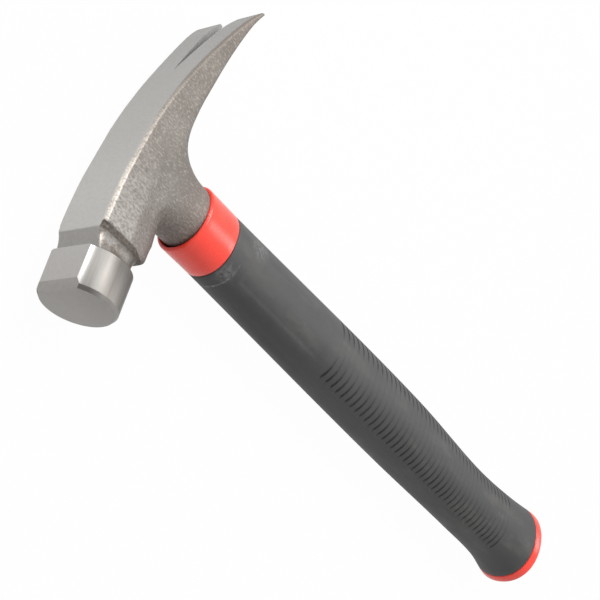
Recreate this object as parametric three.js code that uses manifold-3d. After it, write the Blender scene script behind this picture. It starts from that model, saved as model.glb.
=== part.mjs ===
// A claw hammer: forged head with a turned poll and straight claws, on an oval tubular shaft
// with a two-layer grip, a coloured collar and a coloured butt cap. Sizes are in millimetres.
// The pieces are drawn with X the way the hammer strikes, Y across the cheeks and Z up the handle
// from the end of the butt. At the end the hammer is laid on its cheek, with that Y pointing up.
import * as THREE from "three";
import { mergeVertices } from "three/addons/utils/BufferGeometryUtils.js";
import Module from "manifold-3d";

const wasm = await Module();
wasm.setup();

// Clearance between pieces that seat in or on each other
const FIT_GAP = 0.3;

// Lengths along the handle, from the butt upwards
const RIM_HEIGHT = 5.6;
const GRIP_LENGTH = 272.5;
const COLLAR_LENGTH = 18;
const NECK_RISE = 32.3;

// Grip sections, each with its half depth, half width and how far its centre sits forward
const BUTT_HALF_DEPTH = 20.9;
const BUTT_HALF_WIDTH = 18.4;
const BUTT_FORWARD = 2;
const FLARE_HEIGHT = 20;
const FLARE_HALF_DEPTH = 18.4;
const FLARE_HALF_WIDTH = 15.4;
const FLARE_FORWARD = 1.5;
const WAIST_HEIGHT = 57.3;
const WAIST_HALF_DEPTH = 16.85;
const WAIST_HALF_WIDTH = 14.2;
const WAIST_FORWARD = 2.3;
const BELLY_HEIGHT = 127.3;
const BELLY_HALF_DEPTH = 17.6;
const BELLY_HALF_WIDTH = 15;
const BELLY_FORWARD = 1.1;
const COLLAR_HALF_DEPTH = 14.75;
const COLLAR_HALF_WIDTH = 12.4;
const COLLAR_FORWARD = 0.65;
const GRIP_SQUARENESS = 2.15;

// Rubber of the grip, with its cross grooves and the shallow bare panel on each side
const RUBBER_WALL = 3;
const GROOVE_COUNT = 42;
const GROOVE_PITCH = 4.09;
const GROOVE_HALF_WIDTH = 0.75;
const GROOVE_DEPTH = 0.9;
const LOWEST_GROOVE_HEIGHT = 33;
const PANEL_BOTTOM = 209.3;
const PANEL_TOP = 267.3;
const PANEL_DEPTH = 0.3;

// Oval tubular shaft and what closes its ends
const SHAFT_HALF_DEPTH = 8.2;
const SHAFT_HALF_WIDTH = 6.2;
const SHAFT_WALL = 1.6;
const END_PLUG_LENGTH = 16;
const EXPANDER_LENGTH = 24;
const EXPANDER_TAPER = 0.5;

// Butt cap
const CAP_BOSS_HEIGHT = 8;
const CAP_EDGE_RADIUS = 1.6;

// Collar, the spigot of the head that it covers and the pin through that spigot
const COLLAR_EDGE_RADIUS = 1;
const NECK_SEAT_DEPTH = 2.5;
const CORE_TENON_HEIGHT = 5;
const SPIGOT_WALL = 1.8;
const PIN_RADIUS = 2;

// Socket in the head, lined by a damping sleeve and closed by a damping pad
const SLEEVE_WALL = 1;
const SOCKET_DEPTH = 40;
const PAD_THICKNESS = 2;

// Neck of the head
const NECK_HALF_DEPTH = 13.3;
const NECK_HALF_WIDTH = 11.2;
const NECK_FORWARD = 0;
const REAR_SWEEP = 22;
const FRONT_SWEEP = 10;
const SWEEP_SQUARENESS = 2.3;
const SWEEP_OVERLAP = 4.2;
const HUB_TOP_BELOW_AXIS = 1.4;
const HUB_FRONT = 6;

// Body and claws, with heights measured from the poll's axis
const FLAT_HEIGHT = 11.4;
const BODY_FRONT = 33.5;
const BODY_HALF_WIDTH = 11.2;
const BODY_DEPTH_BELOW_AXIS = 15.8;
const BODY_SOLE_HALF_WIDTH = 6;
const CHEEK_EDGE_BELOW_AXIS = 2.5;
const TOP_EDGE_CHAMFER = 1;
const TOP_ARC_RADIUS = 244;
const CLAW_LENGTH = 86.6;
const CLAW_ROOT = 12;
const CLAW_END_HALF_WIDTH = 16.9;
const CLAW_FLARING = 3.2;
const CLAW_ROOT_THICKNESS = 17;
const CLAW_END_THICKNESS = 1.3;
const CLAW_THINNING = 1.03;
const CLAW_SOLE_CROWN = 0.9;
const SLOT_START = 45.8;
const SLOT_END_HALF_WIDTH = 4.6;

// Core between body and poll, whose top is squarer than its sole, and the shoulder that steps in to it
const SHOULDER_LENGTH = 2.7;
const SHOULDER_KEPT = 0.9;
const CORE_HALF_WIDTH = 10.2;
const CORE_HALF_HEIGHT = 11.9;
const CORE_TOP_SQUARENESS = 6;
const CORE_SOLE_SQUARENESS = 3;
const CORE_FLARE = 0.8;
const CORE_OVERLAP = 1;

// Poll, turned about the strike axis
const POLL_BACK = 43.7;
const POLL_BACK_EDGE = 0.5;
const POLL_RADIUS = 14.6;
const POLL_TAPER = 0.2;
const FACE_DISTANCE = 60.5;
const FACE_CHAMFER_LENGTH = 1.4;
const FACE_CHAMFER_DEPTH = 1;
const TOP_NOTCH_DEPTH = 2.6;
const TOP_NOTCH_STEP = 0.9;

// Levels and seats worked out from the sizes above
const gripBottom = RIM_HEIGHT + FIT_GAP;
const collarBottom = RIM_HEIGHT + GRIP_LENGTH;
const gripTop = collarBottom - FIT_GAP;
const collarTop = collarBottom + COLLAR_LENGTH;
const pollAxis = collarTop + NECK_RISE;
const headTop = pollAxis + FLAT_HEIGHT;
const neckBottom = collarTop - NECK_SEAT_DEPTH;
const coreTop = collarBottom + CORE_TENON_HEIGHT;
const spigotBottom = coreTop + FIT_GAP;
const socketTop = spigotBottom + SOCKET_DEPTH;
const padBottom = socketTop - FIT_GAP - PAD_THICKNESS;
const shaftTop = padBottom - FIT_GAP;
const capBossTop = RIM_HEIGHT + CAP_BOSS_HEIGHT;
const shaftBottom = capBossTop + FIT_GAP;
const pinHeight = (spigotBottom + neckBottom) / 2;
const shoulderFront = BODY_FRONT + SHOULDER_LENGTH;

// Oval seats, given by how far they stand off the shaft's outer surface
const shaftInside = -SHAFT_WALL;
const plugOutside = shaftInside - FIT_GAP;
const sleeveInside = FIT_GAP;
const sleeveOutside = sleeveInside + SLEEVE_WALL;
const socketWall = sleeveOutside + FIT_GAP;
const spigotOutside = socketWall + SPIGOT_WALL;
const collarBore = spigotOutside + FIT_GAP;

const steel = new THREE.MeshStandardMaterial({ color: 0x9c9792, roughness: 0.42, metalness: 0.9 });
const tubeSteel = new THREE.MeshStandardMaterial({ color: 0x8a8c90, roughness: 0.35, metalness: 0.9 });
const redPlastic = new THREE.MeshStandardMaterial({ color: 0xee3a2a, roughness: 0.35, metalness: 0 });
const hardPlastic = new THREE.MeshStandardMaterial({ color: 0x2e2e30, roughness: 0.5, metalness: 0 });
const rubber = new THREE.MeshStandardMaterial({ color: 0x474749, roughness: 0.75, metalness: 0 });
const damper = new THREE.MeshStandardMaterial({ color: 0x1f1f20, roughness: 0.8, metalness: 0 });

// Angles round a handle section, from the front (0) over the near side (90) to the back (180).
// The close pairs are the ends of the grooves and the sides of the panels.
const HALF_TURN_ANGLES = [0, 13, 25, 28, 42, 45, 61, 77, 93, 109, 112, 129, 146, 163, 180];
const SECTION_ANGLES = [
  ...HALF_TURN_ANGLES,
  ...HALF_TURN_ANGLES.slice(1, -1).reverse().map((angle) => 360 - angle),
];
const GROOVE_FROM = 27;
const PANEL_FROM = 44;
const PANEL_TO = 110;

function signedPower(value, exponent) {
  return Math.sign(value) * Math.abs(value) ** exponent;
}

// One closed section at a height: an oval whose squareness is 2 for an ellipse and more for fuller corners
function oval(height, halfDepth, halfWidth, forward = 0, squareness = 2) {
  return SECTION_ANGLES.map((degrees) => {
    const angle = THREE.MathUtils.degToRad(degrees);
    const x = halfDepth * signedPower(Math.cos(angle), 2 / squareness);
    const y = halfWidth * signedPower(Math.sin(angle), 2 / squareness);
    return new THREE.Vector3(forward + x, y, height);
  });
}

// An oval that stands off the shaft's outer surface
function shaftOval(height, offset) {
  return oval(height, SHAFT_HALF_DEPTH + offset, SHAFT_HALF_WIDTH + offset);
}

// Joins sections into a closed skin: solid with end caps, or hollow where the sections run up the
// outside and back down the inside
function skin(sections, hollow = false) {
  const count = sections[0].length;
  const points = sections.flat();
  const faces = [];
  const spans = hollow ? sections.length : sections.length - 1;
  for (let level = 0; level < spans; level += 1) {
    const lower = level * count;
    const upper = ((level + 1) % sections.length) * count;
    for (let step = 0; step < count; step += 1) {
      const next = (step + 1) % count;
      faces.push(lower + step, lower + next, upper + step);
      faces.push(lower + next, upper + next, upper + step);
    }
  }
  if (!hollow) {
    const last = (sections.length - 1) * count;
    for (let step = 1; step < count - 1; step += 1) {
      faces.push(0, step + 1, step);
      faces.push(last, last + step, last + step + 1);
    }
  }
  const geometry = new THREE.BufferGeometry().setFromPoints(points);
  geometry.setIndex(faces);
  geometry.computeVertexNormals();
  return geometry;
}

function hollowSkin(outside, inside) {
  return skin([...outside, ...inside.reverse()], true);
}

function toSolid(geometry) {
  const bare = geometry.clone();
  bare.deleteAttribute("normal");
  bare.deleteAttribute("uv");
  const welded = mergeVertices(bare, 1e-4);
  const corners = welded.index.array;
  const faces = [];
  for (let start = 0; start < corners.length; start += 3) {
    const [a, b, c] = corners.slice(start, start + 3);
    if (a !== b && b !== c && c !== a) {
      faces.push(a, b, c);
    }
  }
  return new wasm.Manifold(new wasm.Mesh({
    numProp: 3,
    vertProperties: Float32Array.from(welded.attributes.position.array),
    triVerts: Uint32Array.from(faces),
  }));
}

function toGeometry(solid) {
  const mesh = solid.getMesh();
  const geometry = new THREE.BufferGeometry();
  geometry.setAttribute("position", new THREE.BufferAttribute(mesh.vertProperties, 3));
  geometry.setIndex(new THREE.BufferAttribute(mesh.triVerts, 1));
  geometry.computeVertexNormals();
  return geometry;
}

// A smooth run of evenly spaced values, both ends included
function steps(from, to, count) {
  return Array.from({ length: count + 1 }, (_, step) => from + ((to - from) * step) / count);
}

// Half depth, half width and forward offset of the grip at any height
const gripSection = new THREE.CubicInterpolant(
  [0, FLARE_HEIGHT, WAIST_HEIGHT, BELLY_HEIGHT, collarBottom],
  [
    BUTT_HALF_DEPTH, BUTT_HALF_WIDTH, BUTT_FORWARD,
    FLARE_HALF_DEPTH, FLARE_HALF_WIDTH, FLARE_FORWARD,
    WAIST_HALF_DEPTH, WAIST_HALF_WIDTH, WAIST_FORWARD,
    BELLY_HALF_DEPTH, BELLY_HALF_WIDTH, BELLY_FORWARD,
    COLLAR_HALF_DEPTH, COLLAR_HALF_WIDTH, COLLAR_FORWARD,
  ],
  3,
);

function gripOval(height, inset = 0) {
  const [halfDepth, halfWidth, forward] = gripSection.evaluate(height);
  return oval(height, halfDepth - inset, halfWidth - inset, forward, GRIP_SQUARENESS);
}

// Sinks the part of a grip section that lies between two angles on each side, straight inwards
function sunkOval(height, depth, fromAngle, toAngle) {
  const surface = gripOval(height);
  const sunk = gripOval(height, depth);
  return surface.map((point, index) => {
    const fromFront = Math.min(SECTION_ANGLES[index], 360 - SECTION_ANGLES[index]);
    const inside = fromFront > fromAngle && fromFront < toAngle;
    return inside ? sunk[index] : point;
  });
}

// The rubber's outer surface: plain bands, a groove of three sections each, and the sunken side panels
function rubberSurface() {
  const plainHeights = steps(gripBottom, LOWEST_GROOVE_HEIGHT - GROOVE_PITCH, 4);
  const sections = plainHeights.map((height) => gripOval(height));
  for (let groove = 0; groove < GROOVE_COUNT; groove += 1) {
    const height = LOWEST_GROOVE_HEIGHT + groove * GROOVE_PITCH;
    sections.push(gripOval(height - GROOVE_HALF_WIDTH));
    sections.push(sunkOval(height, GROOVE_DEPTH, GROOVE_FROM, 181));
    sections.push(gripOval(height + GROOVE_HALF_WIDTH));
  }
  sections.push(gripOval(PANEL_BOTTOM));
  for (const height of steps(PANEL_BOTTOM + PANEL_DEPTH, PANEL_TOP - PANEL_DEPTH, 4)) {
    sections.push(sunkOval(height, PANEL_DEPTH, PANEL_FROM, PANEL_TO));
  }
  sections.push(gripOval(PANEL_TOP));
  sections.push(gripOval(gripTop));
  return sections;
}

const coreHeights = steps(gripBottom, gripTop, 12);

function gripSleeve() {
  return hollowSkin(rubberSurface(), coreHeights.map((height) => gripOval(height, RUBBER_WALL)));
}

// The hard inner layer of the grip, with a tenon on top that the collar slides over
function gripCore() {
  const outside = coreHeights.map((height) => gripOval(height, RUBBER_WALL + FIT_GAP));
  outside.push(shaftOval(collarBottom, spigotOutside));
  outside.push(shaftOval(coreTop, spigotOutside));
  const inside = [shaftOval(gripBottom, sleeveInside), shaftOval(coreTop, sleeveInside)];
  return hollowSkin(outside, inside);
}

// A quarter round from the side of a section to its end, as the inset and the rise of each step
function quarterRound(radius, count) {
  return steps(0, Math.PI / 2, count).map((angle) => ({
    inset: radius * (1 - Math.cos(angle)),
    rise: radius * Math.sin(angle),
  }));
}

function neckCollar() {
  const outside = [oval(collarBottom, COLLAR_HALF_DEPTH, COLLAR_HALF_WIDTH, COLLAR_FORWARD, GRIP_SQUARENESS)];
  for (const { inset, rise } of quarterRound(COLLAR_EDGE_RADIUS, 4)) {
    const height = collarTop - COLLAR_EDGE_RADIUS + rise;
    outside.push(oval(
      height, COLLAR_HALF_DEPTH - inset, COLLAR_HALF_WIDTH - inset, COLLAR_FORWARD, GRIP_SQUARENESS,
    ));
  }
  const seat = neckBottom - FIT_GAP;
  const mouthDepth = NECK_HALF_DEPTH + FIT_GAP;
  const mouthWidth = NECK_HALF_WIDTH + FIT_GAP;
  const inside = [
    shaftOval(collarBottom, collarBore),
    shaftOval(seat, collarBore),
    oval(seat, mouthDepth, mouthWidth, NECK_FORWARD),
    oval(collarTop, mouthDepth, mouthWidth, NECK_FORWARD),
  ];
  return hollowSkin(outside, inside);
}

// The butt cap: a plate with a rounded lower edge, and a boss that plugs the bottom of the grip's core
function buttCap() {
  const sections = [];
  for (const { inset, rise } of quarterRound(CAP_EDGE_RADIUS, 4).reverse()) {
    const height = CAP_EDGE_RADIUS - rise;
    const [halfDepth, halfWidth, forward] = gripSection.evaluate(height);
    sections.push(oval(height, halfDepth - inset, halfWidth - inset, forward, GRIP_SQUARENESS));
  }
  sections.push(gripOval(RIM_HEIGHT));
  sections.push(shaftOval(RIM_HEIGHT, 0));
  sections.push(shaftOval(capBossTop, 0));
  return skin(sections);
}

function pinHole(radius) {
  const cylinder = new THREE.CylinderGeometry(radius, radius, 4 * SHAFT_HALF_WIDTH + 4 * spigotOutside, 24);
  return toSolid(cylinder.translate(0, 0, pinHeight));
}

const crossHole = pinHole(PIN_RADIUS + FIT_GAP);

function crossPin() {
  const length = 2 * (SHAFT_HALF_WIDTH + spigotOutside - FIT_GAP);
  return new THREE.CylinderGeometry(PIN_RADIUS, PIN_RADIUS, length, 24).translate(0, 0, pinHeight);
}

function shaftTube() {
  const tube = hollowSkin(
    [shaftOval(shaftBottom, 0), shaftOval(shaftTop, 0)],
    [shaftOval(shaftBottom, shaftInside), shaftOval(shaftTop, shaftInside)],
  );
  return toGeometry(toSolid(tube).subtract(crossHole));
}

function socketSleeve() {
  const sleeve = hollowSkin(
    [shaftOval(spigotBottom, sleeveOutside), shaftOval(shaftTop, sleeveOutside)],
    [shaftOval(spigotBottom, sleeveInside), shaftOval(shaftTop, sleeveInside)],
  );
  return toGeometry(toSolid(sleeve).subtract(crossHole));
}

// The plug that keeps the mouth of the tube from being crushed, a little slimmer at its lower end
function expanderPlug() {
  const lower = shaftTop - EXPANDER_LENGTH;
  return skin([shaftOval(lower, plugOutside - EXPANDER_TAPER), shaftOval(shaftTop, plugOutside)]);
}

// A plain oval block that stands off the shaft's outer surface all round
function shaftDisc(bottom, height, offset) {
  return skin([shaftOval(bottom, offset), shaftOval(bottom + height, offset)]);
}

// How far a concave sweep has moved out at a share of its rise: a quarter oval, tighter than a round one
function sweep(reach, share) {
  return reach * (1 - (1 - share ** SWEEP_SQUARENESS) ** (1 / SWEEP_SQUARENESS));
}

// The height of the head's ground top at a place along the strike axis
function topHeight(x) {
  const back = Math.max(BODY_FRONT - x, 0);
  return headTop - (TOP_ARC_RADIUS - Math.sqrt(TOP_ARC_RADIUS ** 2 - back ** 2));
}

// One section across the head: ground top with chamfered edges, upright cheeks, then slanting to the sole
function headSection({ x, halfWidth, top, cheekEdge, sole, soleHalfWidth, chamfer }) {
  const half = [
    [soleHalfWidth, sole],
    [halfWidth, cheekEdge],
    [halfWidth, top - chamfer],
    [halfWidth - chamfer, top],
  ];
  const mirrored = half.map(([y, z]) => [-y, z]).reverse();
  return [...half, ...mirrored].map(([y, z]) => new THREE.Vector3(x, y, z));
}

// The claws from their ends to their root: they thin down, flare and droop towards the ends
function clawSections() {
  return steps(-CLAW_LENGTH, -CLAW_ROOT, 12).map((x) => {
    const share = (-x - CLAW_ROOT) / (CLAW_LENGTH - CLAW_ROOT);
    const thinning = (1 - share) ** CLAW_THINNING;
    const thickness = CLAW_END_THICKNESS + (CLAW_ROOT_THICKNESS - CLAW_END_THICKNESS) * thinning;
    const halfWidth = headHalfWidth(x);
    const top = topHeight(x);
    const chamfer = Math.min(TOP_EDGE_CHAMFER, thickness / 3);
    return headSection({
      x,
      halfWidth,
      top,
      chamfer,
      cheekEdge: top - thickness,
      sole: top - thickness - CLAW_SOLE_CROWN * Math.min(thickness / CLAW_SOLE_CROWN / 4, 1),
      soleHalfWidth: halfWidth - TOP_EDGE_CHAMFER,
    });
  });
}

// Half the width of the head across its cheeks, flaring towards the claws' ends
function headHalfWidth(x) {
  const share = (BODY_FRONT - x) / (BODY_FRONT + CLAW_LENGTH);
  return BODY_HALF_WIDTH + (CLAW_END_HALF_WIDTH - BODY_HALF_WIDTH) * Math.max(share, 0) ** CLAW_FLARING;
}

// The body between the claws' root and the poll's core, ending in a shoulder that keeps the top's height
function bodySections() {
  const cheekEdge = pollAxis - CHEEK_EDGE_BELOW_AXIS;
  const sole = pollAxis - BODY_DEPTH_BELOW_AXIS;
  const sections = steps(CLAW_ROOT, BODY_FRONT, 3).map((x) => headSection({
    x,
    halfWidth: headHalfWidth(x),
    top: topHeight(x),
    chamfer: TOP_EDGE_CHAMFER,
    cheekEdge,
    sole,
    soleHalfWidth: BODY_SOLE_HALF_WIDTH,
  }));
  const shoulder = sections.at(-1).map(({ y, z }) => new THREE.Vector3(
    shoulderFront, y * SHOULDER_KEPT, Math.max(z, pollAxis - CORE_HALF_HEIGHT),
  ));
  return [...sections, shoulder];
}

// The core that carries the poll: rounded squares across the strike axis, slimmest halfway
function coreSections() {
  const waist = (shoulderFront + POLL_BACK) / 2;
  return steps(BODY_FRONT, POLL_BACK + CORE_OVERLAP, 8).map((x) => {
    const flare = CORE_FLARE * Math.min(Math.abs(x - waist) / (POLL_BACK - waist), 1) ** 2;
    const sizes = [CORE_HALF_HEIGHT + flare, CORE_HALF_WIDTH + flare, 0];
    const squareTop = oval(x, ...sizes, CORE_TOP_SQUARENESS);
    const roundSole = oval(x, ...sizes, CORE_SOLE_SQUARENESS);
    const section = squareTop.map((point, index) => (point.x > 0 ? point : roundSole[index]));
    return section.map(({ x: rise, y }) => new THREE.Vector3(x, -y, pollAxis + rise));
  });
}

// The forged neck: it rises from the collar, sweeps out into the body in front and the claws behind, and
// its hub goes on up into the cheeks, where its front draws back
function neckSections() {
  const sweepTop = pollAxis - BODY_DEPTH_BELOW_AXIS + SWEEP_OVERLAP;
  const hubTop = pollAxis - HUB_TOP_BELOW_AXIS;
  const heights = [neckBottom, ...steps(collarTop, sweepTop, 12), ...steps(sweepTop, hubTop, 4).slice(1)];
  return heights.map((height) => {
    const swept = THREE.MathUtils.clamp(height, collarTop, sweepTop);
    const share = (swept - collarTop) / (sweepTop - collarTop);
    const drawBack = Math.max(height - sweepTop, 0) / (hubTop - sweepTop);
    const rear = -NECK_HALF_DEPTH - sweep(REAR_SWEEP, share);
    const sweptFront = NECK_HALF_DEPTH + sweep(FRONT_SWEEP, share);
    const front = THREE.MathUtils.lerp(sweptFront, HUB_FRONT, drawBack);
    const squareness = 2 + share * share;
    return oval(height, (front - rear) / 2, NECK_HALF_WIDTH, NECK_FORWARD + (front + rear) / 2, squareness);
  });
}

// The turned end of the head: poll and chamfered striking face
function turnedPoll() {
  const faceRadius = POLL_RADIUS - POLL_TAPER - FACE_CHAMFER_DEPTH;
  const profile = [
    new THREE.Vector2(0, POLL_BACK),
    new THREE.Vector2(POLL_RADIUS - POLL_BACK_EDGE, POLL_BACK),
    new THREE.Vector2(POLL_RADIUS, POLL_BACK + POLL_BACK_EDGE),
    new THREE.Vector2(POLL_RADIUS - POLL_TAPER, FACE_DISTANCE - FACE_CHAMFER_LENGTH),
    new THREE.Vector2(faceRadius, FACE_DISTANCE),
    new THREE.Vector2(0, FACE_DISTANCE),
  ];
  const poll = new THREE.LatheGeometry(profile, 48).rotateZ(-Math.PI / 2);
  return toSolid(poll.translate(0, 0, pollAxis));
}

// A prism across the cheeks from an outline in the strike plane
function acrossCheeks(outline) {
  const width = 4 * CLAW_END_HALF_WIDTH;
  const shape = new THREE.Shape(outline.map(([x, z]) => new THREE.Vector2(x, z)));
  const prism = new THREE.ExtrudeGeometry(shape, { depth: width, bevelEnabled: false });
  return toSolid(prism.rotateX(Math.PI / 2).translate(0, width / 2, 0));
}

// What grinding takes off the top: everything above the flat, the notch over the core that slants down to
// the poll, and the bevel that carries the face's chamfer across the flat
function groundTop() {
  const above = headTop + POLL_RADIUS;
  const flat = acrossCheeks([
    [-CLAW_LENGTH, headTop], [2 * FACE_DISTANCE, headTop], [2 * FACE_DISTANCE, above], [-CLAW_LENGTH, above],
  ]);
  const notchBottom = POLL_BACK - TOP_NOTCH_STEP;
  const notch = acrossCheeks([
    [shoulderFront, headTop],
    [notchBottom, headTop - TOP_NOTCH_DEPTH],
    [POLL_BACK, headTop],
    [notchBottom, above],
  ]);
  const bevelBack = FACE_DISTANCE - FACE_CHAMFER_LENGTH;
  const bevelDrop = FACE_CHAMFER_DEPTH * FACE_DISTANCE / FACE_CHAMFER_LENGTH;
  const bevel = acrossCheeks([
    [bevelBack, headTop],
    [bevelBack + FACE_DISTANCE, headTop - bevelDrop],
    [2 * FACE_DISTANCE, above],
  ]);
  return flat.add(notch).add(bevel);
}

// The nail slot: a narrow vee, open at the claws' ends
function nailSlot() {
  const past = CLAW_LENGTH * 1.2;
  const flare = SLOT_END_HALF_WIDTH / (CLAW_LENGTH - SLOT_START);
  const pastHalfWidth = flare * (past - SLOT_START);
  const vee = new THREE.Shape([
    new THREE.Vector2(-SLOT_START, 0),
    new THREE.Vector2(-past, pastHalfWidth),
    new THREE.Vector2(-past, -pastHalfWidth),
  ]);
  const prism = new THREE.ExtrudeGeometry(vee, { depth: headTop, bevelEnabled: false });
  return toSolid(prism.translate(0, 0, collarTop));
}

function hammerHead() {
  const forging = toSolid(skin([...clawSections(), ...bodySections()]));
  const neck = toSolid(skin(neckSections()));
  const spigot = toSolid(skin([
    shaftOval(spigotBottom, spigotOutside),
    shaftOval(collarTop + NECK_SEAT_DEPTH, spigotOutside),
  ]));
  const socket = toSolid(skin([
    shaftOval(spigotBottom - FIT_GAP, socketWall),
    shaftOval(socketTop, socketWall),
  ]));
  const core = toSolid(skin(coreSections()));
  const head = forging.add(neck).add(core).add(turnedPoll()).subtract(groundTop()).add(spigot);
  return toGeometry(head.subtract(socket).subtract(crossHole).subtract(nailSlot()));
}

const hammer = new THREE.Group();

function addPiece(name, geometry, material) {
  const piece = new THREE.Mesh(geometry, material);
  piece.name = name;
  hammer.add(piece);
}

addPiece("hammer_head", hammerHead(), steel);
addPiece("socket_pad", shaftDisc(padBottom, PAD_THICKNESS, sleeveOutside), damper);
addPiece("socket_sleeve", socketSleeve(), damper);
addPiece("expander_plug", expanderPlug(), steel);
addPiece("cross_pin", crossPin(), steel);
addPiece("shaft_tube", shaftTube(), tubeSteel);
addPiece("shaft_end_plug", shaftDisc(shaftBottom, END_PLUG_LENGTH, plugOutside), hardPlastic);
addPiece("neck_collar", neckCollar(), redPlastic);
addPiece("grip_core", gripCore(), hardPlastic);
addPiece("grip_sleeve", gripSleeve(), rubber);
addPiece("butt_cap", buttCap(), redPlastic);

// The hammer lies on its cheek: the handle along X with the head towards +X, and it strikes towards +Y.
// The origin is under the middle of the box that holds it.
const acrossUp = new THREE.Matrix4().makeBasis(
  new THREE.Vector3(0, 1, 0),
  new THREE.Vector3(0, 0, 1),
  new THREE.Vector3(1, 0, 0),
);
hammer.quaternion.setFromRotationMatrix(acrossUp);
const box = new THREE.Box3().setFromObject(hammer);
const middle = box.getCenter(new THREE.Vector3());
hammer.position.set(-middle.x, -middle.y, -box.min.z);

const part = new THREE.Group();
part.add(hammer);

export default part;
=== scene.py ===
"""A claw hammer lying on its cheek: forged head, turned poll, red collar, grooved grip and red butt cap."""
from math import atan2, cos, degrees, pi, radians, sin, sqrt

import bmesh
import bpy
from mathutils import Matrix, Vector


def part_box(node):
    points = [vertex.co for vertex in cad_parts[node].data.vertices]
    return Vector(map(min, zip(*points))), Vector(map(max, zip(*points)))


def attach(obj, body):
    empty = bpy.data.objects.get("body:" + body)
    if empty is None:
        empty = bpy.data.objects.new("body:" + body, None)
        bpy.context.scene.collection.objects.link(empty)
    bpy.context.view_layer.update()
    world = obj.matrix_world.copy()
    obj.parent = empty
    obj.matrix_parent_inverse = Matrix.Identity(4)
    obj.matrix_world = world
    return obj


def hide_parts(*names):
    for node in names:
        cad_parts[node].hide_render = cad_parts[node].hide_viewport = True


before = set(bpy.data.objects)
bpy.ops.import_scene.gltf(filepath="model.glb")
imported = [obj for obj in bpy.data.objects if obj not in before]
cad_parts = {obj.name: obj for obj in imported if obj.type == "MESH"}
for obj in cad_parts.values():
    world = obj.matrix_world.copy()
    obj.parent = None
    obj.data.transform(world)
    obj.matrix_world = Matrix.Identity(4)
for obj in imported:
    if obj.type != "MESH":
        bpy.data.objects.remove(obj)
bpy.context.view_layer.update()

# The hammer's own axes, in millimetres: x the way it strikes, y across the cheeks, z up from the butt
MM = 0.001
cap_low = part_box("butt_cap")[0]
tube_low, tube_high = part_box("shaft_tube")
BUTT_SPOT = Vector((cap_low.x, (tube_low.y + tube_high.y) / 2, (tube_low.z + tube_high.z) / 2))

# Heights along the handle
RIM_TOP = 5.6
GRIP_BOTTOM = 5.9
GRIP_TOP = 277.8
COLLAR_BOTTOM = 278.1
COLLAR_TOP = 296.1
POLL_AXIS = 328.4
HEAD_TOP = 339.8

# Grip sections: height, then half depth, half width and how far forward the middle sits
GRIP_SECTIONS = [
    (0.0, Vector((20.9, 18.4, 2.0))),
    (20.0, Vector((18.4, 15.4, 1.5))),
    (57.3, Vector((16.85, 14.2, 2.3))),
    (127.3, Vector((17.6, 15.0, 1.1))),
    (278.1, Vector((14.75, 12.4, 0.65))),
]
GRIP_SQUARENESS = 2.15
RUBBER_WALL = 3.0
RUBBER_EDGE = 0.7
GRIP_SEGMENTS = 128

# Cross grooves and the bare side panels of the rubber, with angles from the front of the handle
GROOVE_COUNT = 42
GROOVE_PITCH = 4.09
LOWEST_GROOVE = 33.0
GROOVE_HALF_WIDTH = 0.65
GROOVE_DEPTH = 1.1
GROOVE_RING_SHARES = (-1.25, -1, -0.7, -0.35, 0, 0.35, 0.7, 1, 1.25)
GROOVE_START_ANGLE = 26.0
GROOVE_FADE_ANGLE = 2.5
GROOVE_SHALLOW_SHARE = 0.36
GROOVE_SHALLOW_FROM = (36.0, 72.0)
GROOVE_SHALLOW_TO = (95.0, 125.0)
PANEL_BOTTOM = 209.3
PANEL_TOP = 267.3
PANEL_FROM_ANGLE = 43.0
PANEL_TO_ANGLE = 111.0
PANEL_DEPTH = 0.3
PANEL_EDGE = 1.8
PANEL_EDGE_ANGLE = 4.0

# Collar and butt cap
COLLAR_HALF_DEPTH = 14.75
COLLAR_HALF_WIDTH = 12.4
COLLAR_FORWARD = 0.65
COLLAR_EDGE = 1.1
COLLAR_WALL = 1.0
COLLAR_FOOT = 0.35
COLLAR_PLAIN_MARGIN = 3.0
COLLAR_MOUTH_DROP = 0.3
COLLAR_MOUTH_INSET = 0.15
COLLAR_MOUTH_SQUARENESS = 2.05
COLLAR_SEAT_HEIGHT = 2.0
CAP_EDGE = 1.7
CAP_LIP = 0.4
CAP_BOSS_TOP = 13.6
CAP_BOSS_FOOT_INSET = 11.0
CAP_BOSS_TOP_INSET = 9.5

# Head
NECK_FOOT = 2.5
NECK_HALF_DEPTH = 13.3
NECK_HALF_WIDTH = 11.2
REAR_SWEEP = 22.0
FRONT_SWEEP = 10.0
SWEEP_SQUARENESS = 2.8
SWEEP_TOP = 316.8
HUB_TOP = 327.0
HUB_FRONT = 6.0
BODY_FRONT = 33.5
BODY_HALF_WIDTH = 11.2
BODY_DEPTH = 16.8
SOLE_HALF_WIDTH = 6.4
CHEEK_EDGE = 2.5
EDGE_CHAMFER = 1.1
TOP_ARC_RADIUS = 244.0
TIP_LIFT = 2.0
TIP_LIFT_FROM = 46.0
TIP_CURL = 1.2
TIP_CURL_FROM = 75.0
CLAW_LENGTH = 86.6
CLAW_ROOT = 12.0
CLAW_END_HALF_WIDTH = 16.9
CLAW_FLARING = 3.5
CLAW_ROOT_THICKNESS = 18.4
CLAW_END_THICKNESS = 1.4
CLAW_THINNING = 1.0
CLAW_BELLY = 0.9
CLAW_BELLY_INSET = 1.4
SLOT_START = 45.8
SLOT_END_HALF_WIDTH = 4.6
SHOULDER_LENGTH = 2.7
SHOULDER_KEPT = 0.9
CORE_HALF_WIDTH = 10.2
CORE_HALF_HEIGHT = 11.9
CORE_TOP_SQUARENESS = 6.0
CORE_SOLE_SQUARENESS = 3.0
CORE_FRONT = 46.0
CORE_WAIST = 39.95
CORE_WAIST_HALF_LENGTH = 3.75
CORE_FLARE = 0.8
NOTCH_DEPTH = 2.6
NOTCH_STEP = 0.9
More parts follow.
